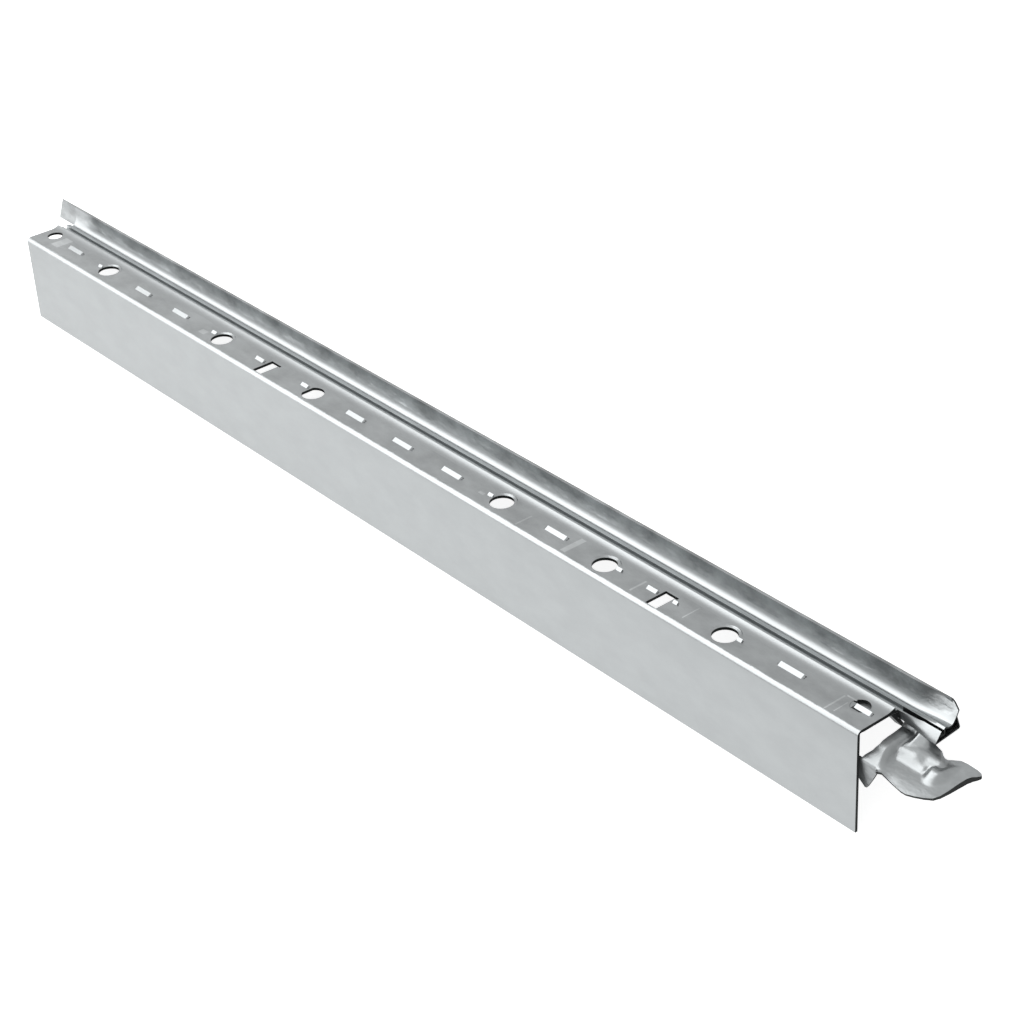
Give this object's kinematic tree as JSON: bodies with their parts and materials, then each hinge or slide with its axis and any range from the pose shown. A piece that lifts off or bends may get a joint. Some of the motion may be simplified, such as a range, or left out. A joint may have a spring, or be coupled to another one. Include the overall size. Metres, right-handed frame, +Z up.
{
  "type": "ceiling grid tee",
  "caption": "Galvanised steel ceiling grid tee with a flat face panel, a punched web, a hollow bulb with an upstanding lip and a stamped end clip.",
  "frame": {"origin": "centre of the bounding box on the floor", "axes": "+X along the profile towards the end clip, +Z up with the tee lying on its panel edge and its bulb, +Y from the panel towards the bulb"},
  "size_m": [0.619, 0.0585, 0.0259],
  "materials": {
    "galvanised_strip": "galvanised, satin",
    "clip_steel": "galvanised, pressed"
  },
  "bodies": {
    "root": {"tee_profile": "galvanised_strip", "end_clip": "clip_steel"}
  },
  "joints": []
}
